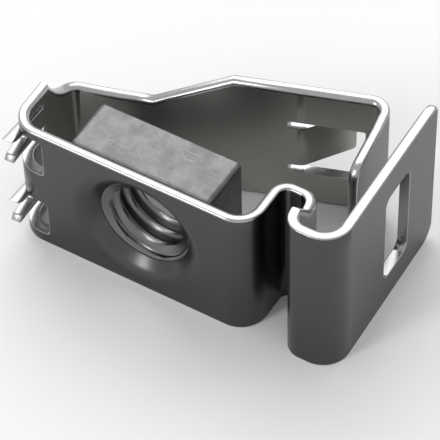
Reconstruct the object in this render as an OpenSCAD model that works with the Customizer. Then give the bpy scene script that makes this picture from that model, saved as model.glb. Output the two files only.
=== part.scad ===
// Rack cage nut: a square nut held in a cage that is folded from one strip of spring steel.
// The part's origin is the middle of the thread. X runs along the cage's front wall, Y runs
// from the front wall into the cage, and Z is up, across the strip. Inside the modules,
// sizes count from the front left corner of the cage at its lower edge.

/* [Sheet] */
// Thickness of the spring steel strip
sheet_t = 0.7; // [0.5:0.05:0.9]
// Height of the strip round the nut
band_h = 10.2; // [10:0.1:11]
// Height of the strip at the finger wing
wing_h = 12; // [11:0.1:14]
// Height of the strip left in the corner notch
notch_h = 7.3; // [6.5:0.1:8]
// Bend radius of the wide bends, on the middle of the sheet
wide_bend_r = 1.5; // [1.2:0.1:2]
// Bend radius of the tight bends, on the middle of the sheet
tight_bend_r = 0.9; // [0.8:0.05:1.1]

/* [Cage] */
// Width of the front wall, over the left wall and the spring loop's first leg
front_w = 17.25; // [16:0.25:19]
// Width of the whole cage, over the left wall and the finger wing
overall_w = 23.15; // [22.5:0.25:26]
// Length of the left wall
left_len = 6.4; // [6:0.1:8]
// Outward lean of the left wall
left_lean = 2.2; // [0:0.1:4]
// Length of the slanting back wall
back_len = 20.35; // [20:0.05:21]
// Slant of the back wall
back_slant = 18.6; // [15:0.1:21]
// Length of the return wall behind the wing
return_len = 6.2; // [5:0.1:7]
// Lean of the return wall towards the wing
return_lean = 7.3; // [3:0.1:9]
// Radius of the return wall's free corners
return_corner_r = 1.1; // [0.5:0.1:2]
// Drop of the return wall's top edge below the strip
return_drop = 0.15; // [0.05:0.05:0.5]
// Distance of that drop from the right rear bend
return_slope_s = 1.3; // [1:0.1:2]
// Length of that drop
return_slope_len = 1.15; // [0.5:0.05:1.5]

/* [Spring loop] */
// Depth of the spring loop from the front face
loop_depth = 4.65; // [4:0.05:5.5]
// Distance between the loop's legs at its closed end, on the middle of the sheet
loop_pitch = 2.3; // [2.1:0.1:2.6]
// Lean of the loop's second leg
loop_lean = 8; // [4:1:10]
// Distance from the front face at which the strip starts to rise to the wing's height
rise_back_y = 3.1; // [2.8:0.1:3.3]
// Length over which the strip rises to the wing's height
rise_len = 1.55; // [1.3:0.05:1.8]

/* [Finger wing] */
// Length of the wing from the front face
wing_len = 13; // [12:0.5:15]
// Inward lean of the wing
wing_lean = 1.4; // [0:0.1:3]
// Radius of the wing's lower free corner
wing_low_r = 1.3; // [0.6:0.1:2]
// Radius of the wing's upper free corner
wing_top_r = 0.45; // [0.3:0.05:1]
// Width of the window in the wing
wing_window_w = 3.1; // [2:0.1:4]
// Height of the window in the wing
wing_window_h = 7.4; // [5:0.1:8]
// Middle of the window in the wing, from the front face
wing_window_y = 7.85; // [7:0.05:8.5]
// Corner radius of the window in the wing
wing_window_r = 0.6; // [0.3:0.1:1]

/* [Corner notch] */
// Distance from the front face at which the strip starts to fall to the notch
notch_y = 3.9; // [3.5:0.1:4.5]
// Radius of the notch's curved side
notch_r = 4.5; // [4:0.1:5]
// Distance of the notch's straight side from the left rear bend, at its foot
notch_foot = 5.3; // [5:0.1:6]
// Slope of the notch's straight side
notch_slope = 29; // [25:1:40]

/* [Contact claws] */
// Middle of the claws and their windows, up the strip
claw_window_z = [2.35, 8]; // [0:0.1:12]
// Height of a claw window
claw_window_h = 2.95; // [2.7:0.05:3]
// Reach of a claw window along the front wall
claw_window_x = 2.4; // [2.2:0.1:3]
// Distance of a claw's root behind the front face
claw_root_y = 3; // [2.6:0.1:3.2]
// Distance that a claw stands out in front of the front face
claw_reach = 0.8; // [0.4:0.1:1.2]
// Height of a claw at its root
claw_root_h = 1.65; // [1.4:0.05:1.8]
// Depth of the fishtail notch between a claw's two teeth
claw_fork = 1.55; // [1:0.05:2]

/* [Latch tongue] */
// Distance of the tongue's relief slots from the left rear bend
tongue_slot_s = 14.25; // [13.7:0.05:14.4]
// Distance of the tongue's bend from the left rear bend
tongue_root_s = 14.85; // [14.7:0.05:15]
// Distance of the tongue window's end from the left rear bend
tongue_window_s = 18.9; // [18.6:0.1:19]
// Height of the tongue
tongue_h = 3.4; // [2.4:0.1:4]
// Width of the relief slots above and below the tongue
tongue_slot_w = 0.58; // [0.5:0.02:0.8]
// Bend radius of the tongue, on the middle of the sheet
tongue_bend_r = 0.85; // [0.6:0.05:1]
// Angle at which the tongue is bent out of the back wall
tongue_angle = 36; // [20:1:45]
// Length of the tongue's flat part
tongue_len = 3.7; // [2.5:0.1:4]

/* [Nut] */
// Width and height of the square nut
nut_w = 10; // [9.4:0.1:10]
// Thickness of the nut
nut_t = 3.7; // [3.2:0.1:5]
// Edge radius of the nut
nut_edge_r = 0.35; // [0.2:0.05:0.6]
// Middle of the thread, from the left wall's outer face
thread_x = 9.1; // [8.5:0.1:10]
// Minor diameter of the M6 thread
thread_minor_d = 5; // [4:0.1:5.2]
// Diameter of the thread's countersink
thread_sink_d = 6.3; // [6:0.1:6.4]
// Depth of the thread's countersink
thread_sink_depth = 0.35; // [0.2:0.05:0.5]
// Diameter of the conical seat at the nut's front face
seat_d = 8.1; // [7.6:0.1:8.4]
// Diameter of the conical seat at its floor
seat_floor_d = 7.5; // [7:0.1:7.6]
// Depth of the conical seat
seat_depth = 0.27; // [0.2:0.01:0.4]

/* [Dished hole] */
// Diameter of the hole in the front wall at its inner edge
hole_d = 6.3; // [6:0.1:6.5]
// Radius of the dished rim
rim_r = 1.5; // [0.5:0.1:1.6]

/* [Fits] */
// Clearance between the dished collar and the nut's seat
seat_fit = 0.02; // [0.01:0.01:0.1]

/* [Hidden] */
$fn = 96;
half_t = sheet_t / 2;
over = 1;
// Curves are cut this much large, so that they cross the flat faces and never just touch them
hair = 0.0005;

// Corners of the sheet's middle line where its straight walls would meet, in plan
front_left = [half_t, half_t];
front_right = [front_w - half_t, half_t];
loop_left = [front_w - half_t, loop_depth - half_t];
loop_right = loop_left + [loop_pitch, 0];
lip = [loop_right.x + (loop_depth - sheet_t) * tan(loop_lean), half_t];
wing_corner = [overall_w - half_t, half_t];
wing_end = wing_corner + (wing_len - half_t) * [-tan(wing_lean), 1];
left_rear = front_left + left_len * [-sin(left_lean), cos(left_lean)];
right_rear = left_rear + back_len * [cos(back_slant), sin(back_slant)];
return_end = right_rear + return_len * [sin(return_lean), -cos(return_lean)];

// The folded strip in plan, each corner with the radius of its bend
plan = [
    [return_end, 0],
    [right_rear, tight_bend_r],
    [left_rear, tight_bend_r],
    [front_left, wide_bend_r],
    [front_right, wide_bend_r],
    [loop_left, tight_bend_r],
    [loop_right, tight_bend_r],
    [lip, tight_bend_r],
    [wing_corner, wide_bend_r],
    [wing_end, 0]
];
last = len(plan) - 1;

// Round seat and thread
thread_z = band_h / 2;
thread_mid = [thread_x, sheet_t + (seat_depth + nut_t) / 2, thread_z];
collar_depth = sheet_t + seat_depth - seat_fit;
rim_corner_r = hole_d / 2 + collar_depth;

// Latch tongue, in plan
tongue_z = band_h / 2 - 0.05;
tongue_low = tongue_z - tongue_h / 2;
tongue_corner = left_rear + tongue_root_s * [cos(back_slant), sin(back_slant)];
tongue_slant = back_slant + tongue_angle;
tongue_end = tongue_corner + tongue_len * [cos(tongue_slant), sin(tongue_slant)];

// Claws: their plan keeps to the left wall's plane, and thins by a hair towards the tip
claw_in = [sheet_t - (claw_root_y + over) * tan(left_lean) + 0.02, claw_root_y + over];
claw_tip = [sheet_t + claw_reach * tan(left_lean) - 0.03, -claw_reach];

function direction(a, b) = (b - a) / norm(b - a);
function heading(a, b) = atan2(b.y - a.y, b.x - a.x);
function turn(a, b, c) =
    let (d = heading(b, c) - heading(a, b))
    d > 180 ? d - 360 : d < -180 ? d + 360 : d;
// Corner b of the sheet's left face (side 1) or right face (side -1), on the way from a to c
function mitre(a, b, c, side) =
    let (slant = heading(a, b) + turn(a, b, c) / 2)
    b + side * half_t / cos(turn(a, b, c) / 2) * [-sin(slant), cos(slant)];
// Corner i of the strip's left or right face
function face(i, side) =
    let (
        b = plan[i][0],
        a = i > 0 ? plan[i - 1][0] : 2 * b - plan[i + 1][0],
        c = i < last ? plan[i + 1][0] : 2 * b - plan[i - 1][0]
    )
    mitre(a, b, c, side);

// The pie slice round a bend's centre that holds the bend from a to c at corner b
module at_bend(a, b, c, r) {
    angle = turn(a, b, c);
    side = sign(angle);
    centre = b - r * tan(abs(angle) / 2) * direction(a, b)
        + side * r * [-direction(a, b).y, direction(a, b).x];
    translate(centre) rotate(heading(a, b) - side * 90) {
        $slice = 1.1 * (r + half_t)
            * [[0, 0], [1, 0], [1, side * tan(abs(angle) / 2)], [cos(angle), sin(angle)]];
        children();
    }
}

// Sheet outside a bend, to cut away
module bend_waste(a, b, c, r) {
    at_bend(a, b, c, r) difference() {
        polygon($slice);
        circle(r + half_t + hair);
    }
}

// Sheet inside a bend, to add
module bend_fill(a, b, c, r) {
    at_bend(a, b, c, r) difference() {
        intersection() {
            polygon($slice);
            circle(r + 0.8 * half_t);
        }
        circle(r - half_t + hair);
    }
}

// Punches its shape through a straight wall: X runs along the wall from the corner, Y is up
module punch(corner, slant) {
    translate([corner.x, corner.y, 0])
        rotate(slant)
            translate([0, sheet_t, 0])
                rotate([90, 0, 0]) linear_extrude(2 * sheet_t) children();
}

// Extrudes its shape across the cage from x1 to x2: X of the shape runs along Y, and Y is up
module across(x1, x2) {
    translate([x1, 0, 0]) rotate([90, 0, 90]) linear_extrude(x2 - x1) children();
}

// The whole folded strip as tall as the wing. The left wall still runs on to the claws' tips
module folded_strip() {
    linear_extrude(wing_h) {
        difference() {
            polygon([
                for (i = [0:last]) face(i, 1),
                for (i = [last:-1:4]) face(i, -1),
                [claw_tip.x, 0],
                claw_tip - [0, over / 2],
                face(2, -1) + (face(2, -1).y + claw_reach + over / 2)
                    * [tan(left_lean), -1],
                for (i = [2:-1:0]) face(i, -1)
            ]);
            for (i = [1, 2, 4, 5, 6, 7, 8])
                bend_waste(plan[i - 1][0], plan[i][0], plan[i + 1][0], plan[i][1]);
        }
        for (i = [1:last - 1])
            bend_fill(plan[i - 1][0], plan[i][0], plan[i + 1][0], plan[i][1]);
    }
}

// What is sheared off above the band: all but the lip, the right face and the wing
module above_band() {
    rise_x = front_w + 0.8;
    translate([-10, -10, band_h]) cube([rise_x + 10, 40, wing_h]);
    translate([-10, rise_back_y, band_h]) cube([overall_w + 7.75, 40, wing_h]);
    across(rise_x - over, lip.x + over)
        polygon([
            [rise_back_y + over, band_h],
            [rise_back_y, band_h],
            [rise_back_y - rise_len, wing_h],
            [rise_back_y - rise_len, wing_h + over],
            [rise_back_y + over, wing_h + over]
        ]);
}

// Notch at the left rear corner: what lies above both the curved fall of the left wall, with
// its level floor, and the straight climb of the back wall
module corner_notch() {
    drop = band_h - notch_h;
    floor_y = notch_y + sqrt(notch_r ^ 2 - (notch_r - drop) ^ 2);
    climb = drop / tan(notch_slope);
    intersection() {
        across(-2 * over, notch_foot + climb + over) difference() {
            translate([floor_y - notch_r, notch_h]) square([2 * floor_y, wing_h]);
            difference() {
                translate([floor_y - notch_r - over, notch_h - over])
                    square([notch_r + over, notch_r + over]);
                translate([floor_y, notch_h + notch_r]) circle(notch_r + hair);
            }
        }
        translate([left_rear.x, left_rear.y, 0])
            rotate([90, 0, back_slant])
                linear_extrude(2 * left_len, center = true)
                    polygon([
                        [notch_foot - climb, notch_h - drop],
                        [notch_foot + 2 * climb, band_h + drop],
                        [-left_len, band_h + drop],
                        [-left_len, notch_h - drop]
                    ]);
    }
}

// The claws as the left wall leaves them: straight on, and ending in two spread teeth
module claws() {
    low = -claw_root_h / 2;
    high = claw_root_h / 2;
    rise = 0.48;
    tooth = 0.3;
    fork_y = claw_fork - claw_reach;
    intersection() {
        for (z = claw_window_z)
            across(-2 * over, 2 * sheet_t)
                translate([0, z])
                    polygon([
                        [claw_root_y + over, low],
                        [claw_root_y + over, high],
                        [claw_root_y / 2, high],
                        [-claw_reach, high + rise],
                        [-claw_reach, high + rise - tooth / 3],
                        [fork_y, high - tooth],
                        [fork_y, low + 2.3 * tooth],
                        [tooth / 2 - claw_reach, low + 1.6 * tooth],
                        [-claw_reach, low + tooth],
                        [-claw_reach, low + tooth / 3]
                    ]);
        linear_extrude(wing_h)
            polygon([[-2 * over, claw_in.y], claw_in, claw_tip, [-2 * over, claw_tip.y]]);
    }
}

// What is cut away round the claws: their windows, the bend's outside and all in front of it
module claw_relief() {
    difference() {
        union() {
            translate([-2 * over, -2 * over, -over])
                cube([2 * over + wide_bend_r, 2 * over, wing_h + 2 * over]);
            translate([0, 0, -over])
                linear_extrude(wing_h + 2 * over)
                    bend_waste(plan[2][0], plan[3][0], plan[4][0], plan[3][1]);
            for (z = claw_window_z)
                translate([-2 * over, -over, z - claw_window_h / 2])
                    cube([claw_window_x + 2 * over, claw_root_y + over, claw_window_h]);
        }
        claws();
    }
}

// Dished hole: the rim rounds into a 45 degree cone, and the collar behind it seats in the nut
module dished_hole() {
    shoulder = rim_r * tan(22.5);
    turn_in = shoulder * cos(45);
    translate([thread_x, 0, thread_z])
        rotate([-90, 0, 0])
            rotate_extrude() {
                polygon([
                    [0, -over],
                    [rim_corner_r + over, -over],
                    [hole_d / 2, collar_depth],
                    [hole_d / 2, collar_depth + over],
                    [0, collar_depth + over]
                ]);
                difference() {
                    polygon([
                        [0, -over],
                        [rim_corner_r + shoulder, -over],
                        [rim_corner_r + shoulder, rim_r],
                        [rim_corner_r - turn_in, turn_in],
                        [0, turn_in]
                    ]);
                    translate([rim_corner_r + shoulder, rim_r]) circle(rim_r + hair);
                }
            }
}

// Back of the dish: the sheet's collar, that stands behind the front wall in the nut's seat
module collar() {
    translate([thread_x, sheet_t, thread_z]) rotate([-90, 0, 0]) {
        translate([0, 0, -half_t]) cylinder(d = seat_d - 2 * seat_fit - sheet_t, h = half_t + hair);
        cylinder(
            d1 = seat_d - 2 * seat_fit,
            d2 = seat_floor_d - 2 * seat_fit,
            h = seat_depth - seat_fit
        );
    }
}

// Window that the latch tongue is cut from, in the back wall
module tongue_window() {
    punch(left_rear, back_slant)
        translate([tongue_root_s + 0.3 * half_t, tongue_low - tongue_slot_w / 2])
            square([tongue_window_s - tongue_root_s, tongue_h + tongue_slot_w]);
}

// Latch tongue, bent out of the back wall, before its slots are cut
module tongue_blank() {
    translate([0, 0, tongue_low - tongue_slot_w / 2]) linear_extrude(tongue_h + tongue_slot_w) {
        polygon([
            mitre(left_rear, tongue_corner, tongue_end, 1),
            mitre(tongue_corner, tongue_end, 2 * tongue_end - tongue_corner, 1),
            mitre(tongue_corner, tongue_end, 2 * tongue_end - tongue_corner, -1),
            mitre(left_rear, tongue_corner, tongue_end, -1),
            tongue_corner - half_t * direction(left_rear, tongue_corner)
        ]);
        bend_fill(left_rear, tongue_corner, tongue_end, tongue_bend_r);
    }
}

// What shapes the tongue: its bend's outside, and a round ended slot above and below it
module tongue_cuts() {
    translate([0, 0, tongue_low - tongue_slot_w / 2])
        linear_extrude(tongue_h + tongue_slot_w)
            bend_waste(left_rear, tongue_corner, tongue_end, tongue_bend_r);
    translate([left_rear.x, left_rear.y, 0])
        rotate([90, 0, back_slant])
            linear_extrude(2 * tongue_len, center = true)
                for (z = [tongue_low - tongue_slot_w / 2, tongue_low + tongue_h + tongue_slot_w / 2]) {
                    translate([tongue_slot_s, z]) circle(d = tongue_slot_w);
                    translate([tongue_slot_s, z - tongue_slot_w / 2])
                        square([tongue_window_s + 0.3 * half_t - tongue_slot_s, tongue_slot_w]);
                }
}

module rounded_square(w, h, r) {
    square([w - 2 * r, h], center = true);
    square([w, h - 2 * r], center = true);
    for (x = [-1, 1], y = [-1, 1])
        translate([x * (w / 2 - r), y * (h / 2 - r)]) circle(r);
}

// What is cut off a square corner at x, y to round it with radius r; up is 1 or -1
module corner_waste(x, y, r, up) {
    translate([x - r, y - up * r]) mirror([0, up > 0 ? 0 : 1]) difference() {
        square(r + over);
        circle(r + hair);
    }
}

module wing_cuts() {
    reach = norm(wing_end - wing_corner);
    punch(wing_corner, 90 + wing_lean) {
        translate([wing_window_y - half_t, wing_h / 2])
            rounded_square(wing_window_w, wing_window_h, wing_window_r);
        corner_waste(reach, wing_h, wing_top_r, 1);
        corner_waste(reach, 0, wing_low_r, -1);
    }
}

// Free end of the return wall: a shallow slope down, then rounded corners
module return_cuts() {
    top = band_h - return_drop;
    punch(right_rear, return_lean - 90) {
        polygon([
            [return_slope_s - return_slope_len, band_h + return_drop],
            [return_slope_s + return_slope_len, top],
            [return_len + over, top],
            [return_len + over, band_h + return_drop]
        ]);
        corner_waste(return_len, top, return_corner_r, 1);
        corner_waste(return_len, 0, return_corner_r, -1);
    }
}

module cage() {
    color([0.42, 0.43, 0.45])
        difference() {
            union() {
                difference() {
                    folded_strip();
                    tongue_window();
                }
                tongue_blank();
                collar();
            }
            tongue_cuts();
            above_band();
            corner_notch();
            claw_relief();
            dished_hole();
            wing_cuts();
            return_cuts();
        }
}

module square_nut() {
    color([0.68, 0.69, 0.7])
        translate([thread_x, sheet_t, thread_z])
            rotate([-90, 0, 0])
                difference() {
                    linear_extrude(nut_t) rounded_square(nut_w, nut_w, nut_edge_r);
                    translate([0, 0, -over]) cylinder(d = thread_minor_d, h = nut_t + 2 * over);
                    cylinder(d1 = seat_d, d2 = seat_floor_d, h = seat_depth);
                    translate([0, 0, seat_depth])
                        cylinder(d1 = thread_sink_d, d2 = thread_minor_d, h = thread_sink_depth);
                    translate([0, 0, nut_t - thread_sink_depth])
                        cylinder(d1 = thread_minor_d, d2 = thread_sink_d, h = thread_sink_depth);
                }
}

translate(-thread_mid) {
    cage();
    square_nut();
}
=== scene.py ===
"""A rack cage nut: a square nut in a cage that is folded from one strip of spring steel."""

import math

import bmesh
import bpy
from bpy.props import (
    FloatProperty,
    FloatVectorProperty,
    IntProperty,
    PointerProperty,
)
from mathutils import Matrix, Vector


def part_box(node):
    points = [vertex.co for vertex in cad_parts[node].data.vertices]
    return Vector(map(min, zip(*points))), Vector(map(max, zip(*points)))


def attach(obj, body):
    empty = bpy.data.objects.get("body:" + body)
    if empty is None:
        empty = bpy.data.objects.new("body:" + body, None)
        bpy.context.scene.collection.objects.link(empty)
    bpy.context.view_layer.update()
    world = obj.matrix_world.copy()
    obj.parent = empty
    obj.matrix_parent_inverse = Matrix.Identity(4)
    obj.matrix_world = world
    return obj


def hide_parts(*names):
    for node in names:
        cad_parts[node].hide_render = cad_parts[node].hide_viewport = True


bl_info = {
    "name": "Rack Cage Nut",
    "version": (1, 0, 0),
    "blender": (4, 5, 0),
    "location": "3D View > Sidebar > Cage Nut",
    "description": "Builds a rack cage nut and a plain stage for it",
    "category": "Add Mesh",
}

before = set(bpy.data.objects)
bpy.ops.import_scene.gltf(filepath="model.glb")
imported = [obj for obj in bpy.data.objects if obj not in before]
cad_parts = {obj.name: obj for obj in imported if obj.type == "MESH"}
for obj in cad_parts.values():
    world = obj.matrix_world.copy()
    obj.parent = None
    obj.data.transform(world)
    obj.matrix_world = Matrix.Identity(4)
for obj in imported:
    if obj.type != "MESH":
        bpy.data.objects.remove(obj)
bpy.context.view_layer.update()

MM = 0.001
NUT_LOW, NUT_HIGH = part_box("square_nut")
CAGE_LOW, CAGE_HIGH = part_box("cage")
FLOOR_Z = CAGE_LOW.z
ROUND_STEPS = 96


def mm(value):
    """A length in metres, from millimetres."""
    return value * MM


def length(name, description, default):
    """A length property whose default is given in millimetres."""
    return FloatProperty(
        name=name, description=description, default=mm(default), unit="LENGTH", precision=6
    )


def colour(name, description, default):
    """A colour property."""
    return FloatVectorProperty(
        name=name, description=description, default=default, subtype="COLOR", size=3, min=0, max=1
    )


class CageNutSheet(bpy.types.PropertyGroup):
    """The strip of spring steel"""

    thickness: length("Thickness", "Thickness of the strip", 0.7)
    band: length("Band height", "Height of the strip round the nut", 10.2)
    wing: length("Wing height", "Height of the strip at the finger wing", 12)
    notch: length("Notch height", "Height left in the corner notch", 7.3)
    wide_bend: length("Wide bend", "Radius of the wide bends, on the middle of the sheet", 1.5)
    tight_bend: length("Tight bend", "Radius of the tight bends, on the middle of the sheet", 0.9)
    tongue_bend: length("Tongue bend", "Radius of the latch tongue's bend", 0.85)
    inner_edge: length("Inner edge", "Rounding of the sheared edge inside the cage", 0.34)
    outer_edge: length("Outer edge", "Rounding of the sheared edge outside the cage", 0.14)
    cut_edge: length("Cut edge", "Rounding of the windows' edges", 0.05)
    facet: FloatProperty(
        name="Bend facet", description="Angle of one facet of a bend", default=math.radians(6),
        subtype="ANGLE",
    )


class CageNutThread(bpy.types.PropertyGroup):
    """The square nut"""

    corner: length("Corner radius", "Radius of the nut's four long corners", 0.35)
    edge: length("Edge radius", "Rounding of the nut's front and back edges", 0.16)
    pitch: length("Pitch", "Pitch of the thread", 1)
    crest: length("Crest radius", "Radius of the thread's crests", 2.46)
    root: length("Root radius", "Radius of the thread's roots", 3.02)
    mouth: length("Mouth radius", "Radius of the countersinks", 3.15)
    turns: IntProperty(name="Turns", description="Turns swept before trimming", default=7)


class CageNutFinish(bpy.types.PropertyGroup):
    """Colours of the finishes, with the plating in two copies: a painted-shade one outside the cage and a
    painted-light one inside it
    """

    # Painted shade: the outside plating is darkened to stand in for the dark surroundings that it reflects.
    outside: colour("Outside", "Plated face of the strip outside the cage", (0.085, 0.085, 0.086))
    # Painted light: the inside plating is lightened to stand in for light bounced between the walls; it is
    # the same plating as the outside.
    inside: colour("Inside", "Plated face of the strip inside the cage", (0.42, 0.415, 0.395))
    sheared: colour("Sheared edge", "Bright edge of the strip", (0.44, 0.44, 0.445))
    zinc: colour("Zinc", "Zinc plating of the nut", (0.17, 0.172, 0.172))
    floor: colour("Floor", "Pale floor", (0.8, 0.8, 0.8))


class CageNutStage(bpy.types.PropertyGroup):
    """The camera's place"""

    azimuth: FloatProperty(
        name="Azimuth", description="Angle of the camera round the nut, from the front",
        default=math.radians(32.355), subtype="ANGLE",
    )
    elevation: FloatProperty(
        name="Elevation", description="Angle of the camera above the floor",
        default=math.radians(49.465), subtype="ANGLE",
    )
    roll: FloatProperty(
        name="Roll", description="Turn of the camera about its own axis",
        default=math.radians(-1.664), subtype="ANGLE",
    )
    distance: length("Distance", "Distance of the camera from its target", 173.9)
    lens: FloatProperty(name="Lens", description="Focal length in millimetres", default=228.71)


# ---------------------------------------------------------------- the folded strip

# Middle of the thread, from the front left corner of the cage at its lower edge
THREAD = Vector((9.1, 2.685, 5.1))

HALF = 0.35
LEFT_LEAN = math.radians(2.2)
BACK_SLANT = math.radians(18.6)
RETURN_LEAN = math.radians(7.3)
LOOP_LEAN = math.radians(8)
WING_LEAN = math.radians(1.4)


def plan_corners(sheet):
    """The middle line's corners in plan, each with its bend radius, return wall first."""
    wide, tight = sheet.wide_bend / MM, sheet.tight_bend / MM
    front_left = Vector((HALF, HALF))
    front_right = Vector((17.25 - HALF, HALF))
    loop_left = Vector((front_right.x, 4.65 - HALF))
    loop_right = loop_left + Vector((2.3, 0))
    lip = Vector((loop_right.x + 3.95 * math.tan(LOOP_LEAN), HALF))
    wing = Vector((23.15 - HALF, HALF))
    wing_end = wing + 12.65 * Vector((-math.tan(WING_LEAN), 1))
    left_rear = front_left + 6.4 * Vector((-math.sin(LEFT_LEAN), math.cos(LEFT_LEAN)))
    right_rear = left_rear + 20.35 * Vector((math.cos(BACK_SLANT), math.sin(BACK_SLANT)))
    return_end = right_rear + 6.2 * Vector((math.sin(RETURN_LEAN), -math.cos(RETURN_LEAN)))
    return [
        (return_end, 0),
        (right_rear, tight),
        (left_rear, tight),
        (front_left, wide),
        (front_right, wide),
        (loop_left, tight),
        (loop_right, tight),
        (lip, tight),
        (wing, wide),
        (wing_end, 0),
    ]


class Fold:
    """Where each point of the flat strip lies once the strip is folded, in plan."""

    def __init__(self, corners):
        self.corners = corners
        points = [c for c, _ in corners]
        self.headings = [
            math.atan2(b.y - a.y, b.x - a.x) for a, b in zip(points, points[1:])
        ]
        self.turns = [0]
        for a, b in zip(self.headings, self.headings[1:]):
            self.turns.append((b - a + math.pi) % (2 * math.pi) - math.pi)
        self.turns.append(0)
        self.setbacks = [
            r * math.tan(abs(turn) / 2) for (_, r), turn in zip(corners, self.turns)
        ]
        self.starts, self.ends = [], []
        s = 0
        for i, (a, b) in enumerate(zip(points, points[1:])):
            self.starts.append(s)
            s += (b - a).length - self.setbacks[i] - self.setbacks[i + 1]
            self.ends.append(s)
            s += corners[i + 1][1] * abs(self.turns[i + 1])
        self.length = self.ends[-1]

    def after(self, wall, distance):
        """Place along the flat strip of a point on a wall, from the corner where that wall starts."""
        return self.starts[wall] + distance - self.setbacks[wall]

    def before(self, wall, distance):
        """Place along the flat strip of a point on a wall, from the corner where that wall ends."""
        return self.ends[wall] - distance + self.setbacks[wall + 1]

    def on_wall(self, wall, s, n):
        """A point of a wall, carried straight on beyond its bends."""
        start, _ = self.corners[wall]
        h = self.headings[wall]
        d = s - self.starts[wall] + self.setbacks[wall]
        return start + d * Vector((math.cos(h), math.sin(h))) + n * Vector(
            (-math.sin(h), math.cos(h))
        )

    def place(self, s, n):
        """A point of the folded strip: s along it, n from its middle towards the inside."""
        for wall, (start, end) in enumerate(zip(self.starts, self.ends)):
            if s <= end or wall == len(self.ends) - 1:
                if s >= start or wall == 0:
                    return self.on_wall(wall, s, n)
                return self.on_bend(wall, s - self.ends[wall - 1], n)

    def on_bend(self, corner, distance, n):
        """A point of the bend at a corner."""
        radius = self.corners[corner][1]
        turn = self.turns[corner]
        side = math.copysign(1, turn)
        h = self.headings[corner - 1]
        begin = self.on_wall(corner - 1, self.ends[corner - 1], 0)
        centre = begin + side * radius * Vector((-math.sin(h), math.cos(h)))
        h += side * distance / radius
        return centre - (side * radius - n) * Vector((-math.sin(h), math.cos(h)))

    def facets(self, step):
        """Where the flat strip is cut so that its bends are smooth."""
        cuts = []
        for corner in range(1, len(self.corners) - 1):
            begin, end = self.ends[corner - 1], self.starts[corner]
            count = max(2, round(abs(self.turns[corner]) / step))
            cuts += [begin + (end - begin) * k / count for k in range(count + 1)]
        return cuts


# ---------------------------------------------------------------- bmesh helpers


def add_outline(bm, tag, corners, rim):
    """Adds a closed outline in the flat strip's plane. Each corner is (s, z, radius)."""
    verts = []
    for s, z, _ in corners:
        v = bm.verts.new((s, -HALF, z))
        v[tag] = rim
        verts.append(v)
    edges = [bm.edges.new((a, b)) for a, b in zip(verts, verts[1:] + verts[:1])]
    radii = sorted({r for _, _, r in corners if r})
    for radius in radii:
        rounded = [v for v, (_, _, r) in zip(verts, corners) if r == radius]
        bmesh.ops.bevel(
            bm, geom=rounded, offset=radius, offset_type="OFFSET", segments=7, profile=0.5,
            affect="VERTICES", material=-1,
        )
    return edges


def tag_loose(bm, tag, rim):
    """Tags what has been added since the last call."""
    for v in bm.verts:
        if not v[tag]:
            v[tag] = rim


def finish_mesh(bm, name, materials):
    """Turns a bmesh in millimetres, counted from the thread's middle, into an object in metres."""
    bmesh.ops.delete(bm, geom=[e for e in bm.edges if not e.link_faces], context="EDGES")
    bmesh.ops.remove_doubles(bm, verts=bm.verts, dist=0.002)
    bmesh.ops.recalc_face_normals(bm, faces=bm.faces)
    bmesh.ops.scale(bm, vec=(MM, MM, MM), verts=bm.verts)
    for f in bm.faces:
        f.smooth = True
    for e in bm.edges:
        e.smooth = len(e.link_faces) != 2 or e.calc_face_angle(0) < math.radians(38)
    mesh = bpy.data.meshes.new(name)
    bm.to_mesh(mesh)
    bm.free()
    piece = bpy.data.objects.new(name, mesh)
    bpy.context.scene.collection.objects.link(piece)
    for material in materials:
        mesh.materials.append(material)
    weighted = piece.modifiers.new("Even shading", "WEIGHTED_NORMAL")
    weighted.keep_sharp = True
    weighted.weight = 100
    return piece


# ---------------------------------------------------------------- materials


class Socket:
    """A node's output that takes part in arithmetic."""

    def __init__(self, finish, socket):
        self.finish = finish
        self.socket = socket

    def maths(self, operation, *values):
        return self.finish.node("ShaderNodeMath", {"operation": operation}, dict(enumerate(values)))

    def __add__(self, other):
        return self.maths("ADD", self, other)

    def __radd__(self, other):
        return self.maths("ADD", other, self)

    def __sub__(self, other):
        return self.maths("SUBTRACT", self, other)

    def __rsub__(self, other):
        return self.maths("SUBTRACT", other, self)

    def __mul__(self, other):
        return self.maths("MULTIPLY", self, other)

    def __rmul__(self, other):
        return self.maths("MULTIPLY", other, self)

    def power(self, other):
        return self.maths("POWER", self, other)

    def above(self, low, high):
        """0 below low, 1 above high, and smooth between them."""
        return self.finish.node(
            "ShaderNodeMapRange",
            {"interpolation_type": "SMOOTHSTEP"},
            {"Value": self, "From Min": low, "From Max": high, "To Min": 0, "To Max": 1},
        )


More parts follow.
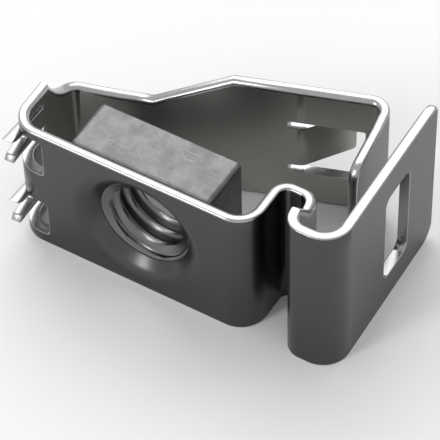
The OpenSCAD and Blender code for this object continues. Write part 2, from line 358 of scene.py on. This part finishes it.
class Finish:
    """A material's node tree."""

    def __init__(self, name):
        self.material = bpy.data.materials.new(name)
        self.material.use_nodes = True
        self.tree = self.material.node_tree
        self.tree.nodes.clear()

    def node(self, kind, settings=None, inputs=None, output=0):
        """Adds a node, sets its settings and then its sockets, and returns one of its outputs."""
        node = self.tree.nodes.new(kind)
        for name, value in (settings or {}).items():
            setattr(node, name, value)
        for name, value in (inputs or {}).items():
            if isinstance(value, Socket):
                self.tree.links.new(value.socket, node.inputs[name])
            else:
                node.inputs[name].default_value = value
        return Socket(self, node.outputs[output]) if len(node.outputs) else None

    def mix(self, factor, a, b):
        """Mixes two colours."""
        return self.node(
            "ShaderNodeMix", {"data_type": "RGBA"}, {0: factor, 6: a, 7: b}, output=2
        )

    def where(self, output="Object"):
        return self.node("ShaderNodeTexCoord", output=output)

    def stretched(self, vector, scale, rotation=(0, 0, 0)):
        return self.node(
            "ShaderNodeMapping", None, {"Vector": vector, "Scale": scale, "Rotation": rotation}
        )

    def noise(self, vector, scale, detail=3, roughness=0.5):
        return self.node(
            "ShaderNodeTexNoise", None,
            {"Vector": vector, "Scale": scale, "Detail": detail, "Roughness": roughness},
        )

    def bump(self, height, strength, distance):
        return self.node(
            "ShaderNodeBump", None, {"Height": height, "Strength": strength, "Distance": distance}
        )

    def metal(self, base, roughness, normal=None, metallic=1.0):
        inputs = {"Base Color": base, "Roughness": roughness, "Metallic": metallic}
        if normal:
            inputs["Normal"] = normal
        shader = self.node("ShaderNodeBsdfPrincipled", None, inputs)
        self.node("ShaderNodeOutputMaterial", None, {"Surface": shader})
        return self.material


def rgba(value, factor=1.0):
    return tuple(c * factor for c in value) + (1.0,)


def plated_face(name, tint):
    """Satin plating with the faint grain of rolled strip, which follows the folded sheet."""
    f = Finish(name)
    along = f.where("UV")
    grain = f.noise(f.stretched(along, (4, 160, 1)), 1.0, detail=4, roughness=0.6)
    cloud = f.noise(f.where(), 240, detail=2)
    # The tint brings in painted shade for the outside face and painted light for the inside face.
    base = f.mix(grain * 0.5 + cloud * 0.5, rgba(tint, 0.9), rgba(tint, 1.1))
    return f.metal(
        base, 0.27 + grain * 0.05 + cloud * 0.03, f.bump(grain, 0.05, mm(0.02))
    )


def sheared_edge(name, tint):
    """Bright edge left by the shears, burnished by tumbling."""
    f = Finish(name)
    streak = f.noise(f.stretched(f.where("UV"), (60, 9, 1)), 1.0, detail=3)
    base = f.mix(streak, rgba(tint, 0.86), rgba(tint, 1.0))
    return f.metal(base, 0.2 + streak * 0.08, f.bump(streak, 0.06, mm(0.02)))


def zinc_plating(name, tint):
    """Zinc plating with its mottled grain and the scratches of handling."""
    f = Finish(name)
    place = f.where()
    mottle = f.noise(place, 900, detail=6, roughness=0.65)
    patch = f.noise(place, 260, detail=3)
    scratch = None
    for turn, scale in ((0.5, 1.0), (1.1, 1.3), (1.9, 0.9)):
        line = f.noise(f.stretched(place, (260 * scale, 5200 * scale, 260), (0, 0, turn)), 1.0, 2)
        line = line.above(0.66, 0.72) * patch.above(0.42, 0.6)
        scratch = line if scratch is None else scratch + line
    shade = f.mix(mottle.above(0.3, 0.7), rgba(tint, 0.72), rgba(tint, 1.15))
    base = f.mix(scratch * 0.6, shade, rgba(tint, 1.7))
    rough = 0.34 + mottle * 0.16 - scratch * 0.08
    return f.metal(base, rough, f.bump(mottle + scratch * 0.6, 0.25, mm(0.03)))


def cut_metal(name, tint):
    """Freshly cut thread, with fine turning marks round the axis."""
    f = Finish(name)
    x, y, z = (
        f.node("ShaderNodeSeparateXYZ", None, {"Vector": f.where()}, output=k) for k in range(3)
    )
    radius = (x * x + z * z).power(0.5)
    marks = f.node("ShaderNodeCombineXYZ", None, {0: radius * 9000, 1: y * 9000, 2: 0.0})
    line = f.noise(marks, 1.0, detail=3)
    return f.metal(
        f.mix(line, rgba(tint, 0.8), rgba(tint, 1.2)), 0.2 + line * 0.1,
        f.bump(line, 0.08, mm(0.02)),
    )


def pale_floor(name, tint):
    """Matt paper."""
    f = Finish(name)
    fibre = f.noise(f.where(), 900, detail=3)
    base = f.mix(fibre, rgba(tint, 0.985), rgba(tint, 1.0))
    return f.metal(base, 0.85, metallic=0.0)


# ---------------------------------------------------------------- pieces

CLAW_WINDOWS = (2.35, 8.0)
CLAW_WINDOW_H = 2.95
CLAW_ROOT = 3.0
CLAW_SHAPE = (
    # distance in front of the root, height above the window's middle, rounding
    (1.5, 1.12, 0),
    (3.79, 1.4, 0.1),
    (3.25, 1.0, 0),
    (2.0, 0.7, 0.2),
    (2.0, 0.14, 0.2),
    (3.5, -0.15, 0.1),
    (3.79, -0.53, 0.1),
    (1.2, -0.62, 0),
)
TONGUE_LOW, TONGUE_HIGH, SLOT_W = 3.35, 6.75, 0.58
TONGUE_ROOT, TONGUE_ANGLE, TONGUE_LEN = 14.85, math.radians(36), 3.7
DISH_EDGE = 4.8
COLLAR_DEPTH = 0.95
TONGUE_SLOT, TONGUE_WINDOW = 14.25, 18.955
CLAW_FRONT = 3.81
SEAT_R, SEAT_FLOOR_R, SEAT_DEPTH = 4.05, 3.75, 0.27


def strip_outlines(bm, tag, fold, sheet):
    """Draws the flat strip: its outer outline and what is punched out of it."""
    band, wing, notch = sheet.band / MM, sheet.wing / MM, sheet.notch / MM
    mid = band / 2
    lean = math.cos(LEFT_LEAN)

    def left_wall(y):
        return fold.before(2, (y - HALF) / lean)

    drop, curve, foot = band - notch, 4.5, 5.3
    floor_y = 3.9 + math.sqrt(curve**2 - (curve - drop) ** 2)
    climb = drop / math.tan(math.radians(29))
    top, foot_s = left_wall(3.9), fold.before(1, foot)
    fall = []
    steps = 22
    for k in range(1, steps):
        s = top + (foot_s - top) * k / steps
        y = fold.place(s, 0).y
        if y < floor_y:
            z = notch + curve - math.sqrt(curve**2 - (floor_y - y) ** 2)
            fall.append((s, z, 0))
    leg = fold.headings[6]
    rise_back = fold.after(6, (4.3 - 3.1) / -math.sin(leg))
    rise_front = fold.after(6, (4.3 - 1.55) / -math.sin(leg))
    outline = [
        (0, 0, 1.1),
        (fold.length, 0, 1.3),
        (fold.length, wing, 0.45),
        (rise_front, wing, 0),
        (rise_back, band, 0),
        (top, band, 0),
        *fall,
        (foot_s, notch, 0),
        (fold.before(1, foot + climb), band, 0),
        (fold.before(0, 1.3), band, 0),
        (fold.before(0, 2.45), band - 0.15, 0),
        (0, band - 0.15, 1.1),
    ]
    add_outline(bm, tag, outline, 1)
    tag_loose(bm, tag, 1)

    root, front = left_wall(CLAW_ROOT), fold.after(3, 2.4 - HALF)
    for z in CLAW_WINDOWS:
        low, high = z - CLAW_WINDOW_H / 2, z + CLAW_WINDOW_H / 2
        add_outline(
            bm, tag,
            [
                (root, low, 0.15),
                (front, low, 0.3),
                (front, high, 0.3),
                (root, high, 0.15),
                (root, z + 0.95, 0.1),
                *((root + d, z + h, r) for d, h, r in CLAW_SHAPE),
                (root, z - 0.62, 0.1),
            ],
            2,
        )
    tip = TONGUE_ROOT - tongue_setback(sheet) + sheet.tongue_bend / MM * TONGUE_ANGLE
    tip += TONGUE_LEN - tongue_setback(sheet)
    slot_end, window_end = TONGUE_SLOT - SLOT_W / 2, TONGUE_WINDOW
    add_outline(
        bm, tag,
        [
            (fold.before(1, d), z, r)
            for d, z, r in (
                (slot_end, TONGUE_LOW - SLOT_W, 0.28),
                (window_end, TONGUE_LOW - SLOT_W, 0.12),
                (window_end, TONGUE_HIGH + SLOT_W, 0.12),
                (slot_end, TONGUE_HIGH + SLOT_W, 0.28),
                (slot_end, TONGUE_HIGH, 0.28),
                (tip, TONGUE_HIGH, 0.3),
                (tip, TONGUE_LOW, 0.3),
                (slot_end, TONGUE_LOW, 0.28),
            )
        ],
        2,
    )
    centre = 7.85 - HALF
    add_outline(
        bm, tag,
        [
            (fold.after(8, centre + x * 1.55), wing / 2 + z * 3.7, 0.6)
            for x, z in ((-1, -1), (1, -1), (1, 1), (-1, 1))
        ],
        2,
    )
    tag_loose(bm, tag, 2)
    dish = bmesh.ops.create_circle(bm, segments=ROUND_STEPS, radius=DISH_EDGE, cap_ends=False)
    bmesh.ops.rotate(bm, verts=dish["verts"], matrix=Matrix.Rotation(math.pi / 2, 3, "X"))
    bmesh.ops.translate(
        bm, verts=dish["verts"], vec=(fold.after(3, THREAD.x - HALF), -HALF, mid)
    )
    tag_loose(bm, tag, 3)


def tongue_setback(sheet):
    return sheet.tongue_bend / MM * math.tan(TONGUE_ANGLE / 2)


def flat_strip(bm, fold, sheet):
    """Makes the strip flat: punched, sheared and with its edges rounded."""
    tag = bm.verts.layers.int.new("rim")
    strip_outlines(bm, tag, fold, sheet)
    bmesh.ops.triangle_fill(
        bm, use_beauty=True, use_dissolve=False, edges=bm.edges, normal=(0, -1, 0)
    )
    bmesh.ops.dissolve_limit(
        bm, angle_limit=0.01, verts=[], edges=bm.edges, use_dissolve_boundaries=False
    )
    flat = bm.faces[:]
    grown = bmesh.ops.extrude_face_region(bm, geom=flat, use_keep_orig=True)
    raised = [g for g in grown["geom"] if isinstance(g, bmesh.types.BMVert)]
    bmesh.ops.translate(bm, verts=raised, vec=(0, 2 * HALF, 0))
    bm.normal_update()
    bmesh.ops.delete(
        bm,
        geom=[f for f in bm.faces if abs(f.normal.y) < 0.5 and all(v[tag] == 3 for v in f.verts)],
        context="FACES_ONLY",
    )
    for rim, side, width in (
        (1, 1, sheet.inner_edge / MM),
        (1, -1, sheet.outer_edge / MM),
        (2, 1, sheet.cut_edge / MM),
        (2, -1, sheet.cut_edge / MM),
    ):
        edges = [
            e
            for e in bm.edges
            if len(e.link_faces) == 2
            and all(v[tag] == rim and abs(v.co.y - side * HALF) < 0.001 for v in e.verts)
            and e.calc_face_angle(0) > math.radians(80)
        ]
        bmesh.ops.bevel(
            bm, geom=edges, offset=width, offset_type="OFFSET", segments=3 if rim == 1 else 2,
            profile=0.5, affect="EDGES", clamp_overlap=False, material=-1, loop_slide=True,
        )


def cut_for_bends(bm, fold, sheet):
    """Cuts the flat strip across wherever it is going to bend."""
    cuts = fold.facets(sheet.facet)
    start = TONGUE_ROOT - tongue_setback(sheet)
    arc = sheet.tongue_bend / MM * TONGUE_ANGLE
    cuts += [fold.before(1, start + arc * k / 6) for k in range(7)]
    for s in sorted(cuts):
        bmesh.ops.bisect_plane(
            bm, geom=bm.verts[:] + bm.edges[:] + bm.faces[:], dist=0.0005,
            plane_co=(s, 0, 0), plane_no=(1, 0, 0),
        )


def lay_grain(bm):
    """Lays the grain along the flat strip, and marks the sheared edges."""
    uv = bm.loops.layers.uv.new("Strip")
    bm.normal_update()
    for f in bm.faces:
        if abs(f.normal.y) < 0.99:
            f.material_index = 2
        else:
            # Inside faces take the painted-light copy of the plating, outside faces the painted-shade copy.
            f.material_index = 1 if f.calc_center_median().y > 0 else 0
        for loop in f.loops:
            loop[uv].uv = (loop.vert.co.x / 10, (loop.vert.co.z + loop.vert.co.y) / 10)


def fold_strip(bm, fold, sheet):
    """Folds the flat strip. The claws and the tongue stay out of the walls that they are cut from."""
    root = fold.before(2, (CLAW_ROOT - HALF) / math.cos(LEFT_LEAN))
    start = TONGUE_ROOT - tongue_setback(sheet)
    radius = sheet.tongue_bend / MM
    tongue_from, tongue_to = fold.before(1, start), fold.before(1, TONGUE_WINDOW - 0.02)
    h = fold.headings[1]
    for v in bm.verts:
        s, n, z = v.co
        claw = root < s < root + CLAW_FRONT and any(-0.9 < z - w < 1.42 for w in CLAW_WINDOWS)
        tongue = (
            tongue_to < s < tongue_from and TONGUE_LOW - 0.1 < z < TONGUE_HIGH + 0.1
        )
        if claw:
            p = fold.on_wall(2, s, n)
        elif tongue:
            begin = fold.on_wall(1, tongue_from, 0)
            outward = Vector((math.sin(h), -math.cos(h)))
            ahead = Vector((-math.cos(h), -math.sin(h)))
            centre = begin + radius * outward
            far = tongue_from - s
            turn = min(far / radius, TONGUE_ANGLE)
            c, t = math.cos(turn), math.sin(turn)
            inward = -c * outward + t * ahead
            onward = c * ahead + t * outward
            p = centre + (radius + n) * inward + max(0, far - radius * TONGUE_ANGLE) * onward
        else:
            p = fold.place(s, n)
        v.co = (p.x - THREAD.x, p.y - THREAD.y, z - THREAD.z)


def dish(bm):
    """Spins the dished hole, from the front wall round to the collar behind it, and joins it on."""
    front, back = -THREAD.y, -THREAD.y + 2 * HALF
    profile = [
        (DISH_EDGE, front, 0),
        (4.1, front, 0.62),
        (3.15, front + COLLAR_DEPTH, 0.06),
        (3.73, front + COLLAR_DEPTH, 0.08),
        (4.03, back, 0),
        (DISH_EDGE, back, 0),
    ]
    verts = [bm.verts.new((r, y, 0)) for r, y, _ in profile]
    for a, b in zip(verts, verts[1:]):
        bm.edges.new((a, b))
    for v, (_, _, radius) in zip(verts, profile):
        if radius:
            bmesh.ops.bevel(
                bm, geom=[v], offset=radius, offset_type="OFFSET",
                segments=10 if radius > 0.2 else 3, profile=0.5, affect="VERTICES", material=-1,
            )
    line = [v for v in bm.verts if not v.link_faces]
    bmesh.ops.spin(
        bm, geom=line + [e for e in bm.edges if not e.link_faces], cent=(0, 0, 0),
        axis=(0, 1, 0), angle=2 * math.pi, steps=ROUND_STEPS, use_merge=True,
    )


class CAGENUT_OT_cage(bpy.types.Operator):
    """Punch, shear and fold the cage from one strip"""

    bl_idname = "cagenut.cage"
    bl_label = "Cage"

    def execute(self, context):
        sheet, finish = context.scene.cagenut_sheet, context.scene.cagenut_finish
        fold = Fold(plan_corners(sheet))
        bm = bmesh.new()
        flat_strip(bm, fold, sheet)
        cut_for_bends(bm, fold, sheet)
        lay_grain(bm)
        fold_strip(bm, fold, sheet)
        dish(bm)
        piece = finish_mesh(
            bm, "folded_cage",
            [
                # The plating as a painted-shade copy outside and a painted-light copy inside.
                plated_face("plated_outside_painted_shade", finish.outside),
                plated_face("plated_inside_painted_light", finish.inside),
                sheared_edge("sheared_edge", finish.sheared),
            ],
        )
        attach(piece, "root")
        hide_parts("cage")
        return {"FINISHED"}


def nut_block(bm, nut):
    """Makes the nut's block with its round seat, and leaves it open round the thread."""
    low, high = NUT_LOW / MM, NUT_HIGH / MM
    half = (high.x - low.x) / 2
    corners = [
        bm.verts.new((x * half, low.y, z * half)) for x, z in ((-1, -1), (1, -1), (1, 1), (-1, 1))
    ]
    for a, b in zip(corners, corners[1:] + corners[:1]):
        bm.edges.new((a, b))
    bmesh.ops.bevel(
        bm, geom=corners, offset=nut.corner / MM, offset_type="OFFSET", segments=5, profile=0.5,
        affect="VERTICES", material=-1,
    )
    seat = bmesh.ops.create_circle(bm, segments=ROUND_STEPS, radius=SEAT_R, cap_ends=False)["verts"]
    bmesh.ops.rotate(bm, verts=seat, matrix=Matrix.Rotation(math.pi / 2, 3, "X"))
    bmesh.ops.translate(bm, verts=seat, vec=(0, low.y, 0))
    bmesh.ops.triangle_fill(bm, use_beauty=True, edges=bm.edges, normal=(0, -1, 0))
    grown = bmesh.ops.extrude_face_region(bm, geom=bm.faces[:], use_keep_orig=True)
    raised = [g for g in grown["geom"] if isinstance(g, bmesh.types.BMVert)]
    bmesh.ops.translate(bm, verts=raised, vec=(0, high.y - low.y, 0))
    bm.normal_update()
    wall = [
        f for f in bm.faces
        if abs(f.normal.y) < 0.5 and all(abs(v.co.xz.length - SEAT_R) < 0.01 for v in f.verts)
    ]
    bmesh.ops.delete(bm, geom=wall, context="FACES_ONLY")
    edges = [
        e for e in bm.edges
        if len(e.link_faces) == 2 and e.calc_face_angle(0) > math.radians(80)
        and abs(e.verts[0].co.y - e.verts[1].co.y) < 0.001
    ]
    bmesh.ops.bevel(
        bm, geom=edges, offset=nut.edge / MM, offset_type="OFFSET", segments=3, profile=0.5,
        affect="EDGES", clamp_overlap=False, material=-1,
    )
    rims = [e for e in bm.edges if len(e.link_faces) == 1]
    front = [e for e in rims if e.verts[0].co.y < (low.y + high.y) / 2]
    back = [e for e in rims if e not in front]
    back_verts = list({v for e in back for v in e.verts})
    for v in back_verts:
        v.co.x *= (nut.mouth / MM + 0.1) / SEAT_R
        v.co.z *= (nut.mouth / MM + 0.1) / SEAT_R
    for scale, depth in ((SEAT_FLOOR_R / SEAT_R, SEAT_DEPTH), ((nut.mouth / MM + 0.1) / SEAT_FLOOR_R, 0.0)):
        grown = bmesh.ops.extrude_edge_only(bm, edges=front)["geom"]
        verts = [g for g in grown if isinstance(g, bmesh.types.BMVert)]
        bmesh.ops.scale(bm, vec=(scale, 1, scale), verts=verts)
        bmesh.ops.translate(bm, vec=(0, depth, 0), verts=verts)
        front = [
            g for g in grown
            if isinstance(g, bmesh.types.BMEdge) and all(v in verts for v in g.verts)
        ]
    return low.y + SEAT_DEPTH, high.y


def nut_thread(bm, nut, front, back):
    """Sweeps one line of the thread round by one pitch, trims it and opens its two countersinks."""
    pitch, crest, root = nut.pitch / MM, nut.crest / MM, nut.root / MM
    mouth = nut.mouth / MM
    shape = (
        (0.0, crest), (0.125, crest), (0.14, crest + 0.012),
        (0.3, crest + (root - crest) * 0.43), (0.47, root - 0.02), (0.5, root),
        (0.625, root), (0.655, root - 0.02), (0.83, crest + (root - crest) * 0.43),
        (0.985, crest + 0.012),
    )
    bore = bmesh.new()
    start = front - 1.5 * pitch
    verts = [
        bore.verts.new((r, start + (turn + y) * pitch, 0))
        for turn in range(nut.turns) for y, r in shape
    ]
    for a, b in zip(verts, verts[1:]):
        bore.edges.new((a, b))
    bmesh.ops.subdivide_edges(bore, edges=bore.edges, cuts=1)
    bmesh.ops.spin(
        bore, geom=bore.verts[:] + bore.edges[:], cent=(0, 0, 0), axis=(0, 1, 0),
        dvec=(0, pitch / ROUND_STEPS, 0), angle=2 * math.pi, steps=ROUND_STEPS, use_merge=False,
    )
    bmesh.ops.remove_doubles(bore, verts=bore.verts, dist=0.001)
    for y, side in ((front, -1), (back, 1)):
        bmesh.ops.bisect_plane(
            bore, geom=bore.verts[:] + bore.edges[:] + bore.faces[:], dist=0.0002,
            plane_co=(0, y, 0), plane_no=(0, side, 0), clear_outer=True,
        )
    for v in bore.verts:
        cone = max(mouth - (v.co.y - front) * 2, mouth - (back - v.co.y) * 1.9)
        here = v.co.xz.length
        if cone > here:
            v.co.x *= cone / here
            v.co.z *= cone / here
    for f in bore.faces:
        f.material_index = 1
    mesh = bpy.data.meshes.new("bore")
    bore.to_mesh(mesh)
    bore.free()
    bm.from_mesh(mesh)
    bpy.data.meshes.remove(mesh)
    bm.edges.ensure_lookup_table()
    for y in (front, back):
        ring = [
            e for e in bm.edges
            if len(e.link_faces) == 1
            and all(abs(v.co.y - y) < 0.001 and v.co.xz.length < mouth + 0.12 for v in e.verts)
        ]
        bmesh.ops.triangle_fill(bm, use_beauty=True, edges=ring, normal=(0, 1, 0))


class CAGENUT_OT_nut(bpy.types.Operator):
    """Make the square nut with its thread"""

    bl_idname = "cagenut.nut"
    bl_label = "Square nut"

    def execute(self, context):
        nut, finish = context.scene.cagenut_thread, context.scene.cagenut_finish
        bm = bmesh.new()
        front, back = nut_block(bm, nut)
        nut_thread(bm, nut, front, back)
        piece = finish_mesh(
            bm, "threaded_nut",
            [zinc_plating("zinc_plating", finish.zinc), cut_metal("cut_thread", finish.zinc)],
        )
        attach(piece, "root")
        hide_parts("square_nut")
        return {"FINISHED"}


def add_lamp(name, place, target, size, watts):
    """Adds a square soft lamp that faces its target. Lengths are in metres."""
    data = bpy.data.lights.new(name, "AREA")
    data.shape = "RECTANGLE"
    data.size, data.size_y = size
    data.energy = watts
    lamp = bpy.data.objects.new(name, data)
    bpy.context.scene.collection.objects.link(lamp)
    lamp.location = place
    lamp.rotation_euler = (Vector(target) - Vector(place)).to_track_quat("-Z", "Y").to_euler()
    return lamp


class CAGENUT_OT_stage(bpy.types.Operator):
    """Lay the floor, hang the lamps and set the camera"""

    bl_idname = "cagenut.stage"
    bl_label = "Stage"

    def execute(self, context):
        scene, stage = context.scene, context.scene.cagenut_stage
        bm = bmesh.new()
        bmesh.ops.create_grid(bm, x_segments=2, y_segments=2, size=1.5)
        bmesh.ops.translate(bm, verts=bm.verts, vec=(0, 0, FLOOR_Z))
        mesh = bpy.data.meshes.new("floor")
        bm.to_mesh(mesh)
        bm.free()
        floor = bpy.data.objects.new("floor", mesh)
        scene.collection.objects.link(floor)
        mesh.materials.append(pale_floor("floor_paper", scene.cagenut_finish.floor))

        add_lamp("key_lamp", (-0.18, 0.27, 0.37), (0, 0, 0), (0.5, 0.36), 1.3)
        add_lamp("front_lamp", (-0.16, -0.36, 0.26), (0, 0, 0), (0.1, 0.2), 0.6)

        world = bpy.data.worlds.new("studio")
        scene.world = world
        world.use_nodes = True
        tree = world.node_tree
        tree.nodes.clear()
        shade = tree.nodes.new("ShaderNodeBackground")
        shade.inputs["Color"].default_value = (0.78, 0.78, 0.78, 1)
        shade.inputs["Strength"].default_value = 1.0
        end = tree.nodes.new("ShaderNodeOutputWorld")
        tree.links.new(shade.outputs[0], end.inputs[0])

        c = Vector(
            (
                math.cos(stage.elevation) * math.sin(stage.azimuth),
                -math.cos(stage.elevation) * math.cos(stage.azimuth),
                math.sin(stage.elevation),
            )
        )
        level = Vector((math.cos(stage.azimuth), math.sin(stage.azimuth), 0))
        upright = c.cross(level)
        turn, lift = math.cos(stage.roll), math.sin(stage.roll)
        right = turn * level + lift * upright
        up = -lift * level + turn * upright
        target = Vector((12, 6, 5)) - THREAD
        place = target * MM + stage.distance * c - mm(0.45216) * right - mm(1.97938) * up
        data = bpy.data.cameras.new("camera")
        data.sensor_width = 36
        data.lens = stage.lens
        data.clip_start = 0.01
        data.clip_end = 10
        camera = bpy.data.objects.new("camera", data)
        scene.collection.objects.link(camera)
        camera.matrix_world = Matrix(
            (
                (right.x, up.x, c.x, place.x),
                (right.y, up.y, c.y, place.y),
                (right.z, up.z, c.z, place.z),
                (0, 0, 0, 1),
            )
        )
        scene.camera = camera
        scene.view_settings.view_transform = "Standard"
        return {"FINISHED"}


class CAGENUT_PT_panel(bpy.types.Panel):
    """Lists the pieces and their sizes"""

    bl_idname = "CAGENUT_PT_panel"
    bl_label = "Rack cage nut"
    bl_space_type = "VIEW_3D"
    bl_region_type = "UI"
    bl_category = "Cage Nut"

    def draw(self, context):
        scene = context.scene
        for title, group, operator in (
            ("Sheet", scene.cagenut_sheet, CAGENUT_OT_cage.bl_idname),
            ("Nut", scene.cagenut_thread, CAGENUT_OT_nut.bl_idname),
            ("Finish", scene.cagenut_finish, None),
            ("Stage", scene.cagenut_stage, CAGENUT_OT_stage.bl_idname),
        ):
            box = self.layout.box()
            box.label(text=title)
            for name in group.__annotations__:
                box.prop(group, name)
            if operator:
                box.operator(operator)


CLASSES = (
    CageNutSheet,
    CageNutThread,
    CageNutFinish,
    CageNutStage,
    CAGENUT_OT_cage,
    CAGENUT_OT_nut,
    CAGENUT_OT_stage,
    CAGENUT_PT_panel,
)
GROUPS = {
    "cagenut_sheet": CageNutSheet,
    "cagenut_thread": CageNutThread,
    "cagenut_finish": CageNutFinish,
    "cagenut_stage": CageNutStage,
}


def register():
    for cls in CLASSES:
        bpy.utils.register_class(cls)
    for name, group in GROUPS.items():
        setattr(bpy.types.Scene, name, PointerProperty(type=group))


def unregister():
    for name in GROUPS:
        delattr(bpy.types.Scene, name)
    for cls in reversed(CLASSES):
        bpy.utils.unregister_class(cls)


def main():
    register()
    bpy.ops.cagenut.stage()
    bpy.ops.cagenut.cage()
    bpy.ops.cagenut.nut()


if __name__ == "__main__":
    main()
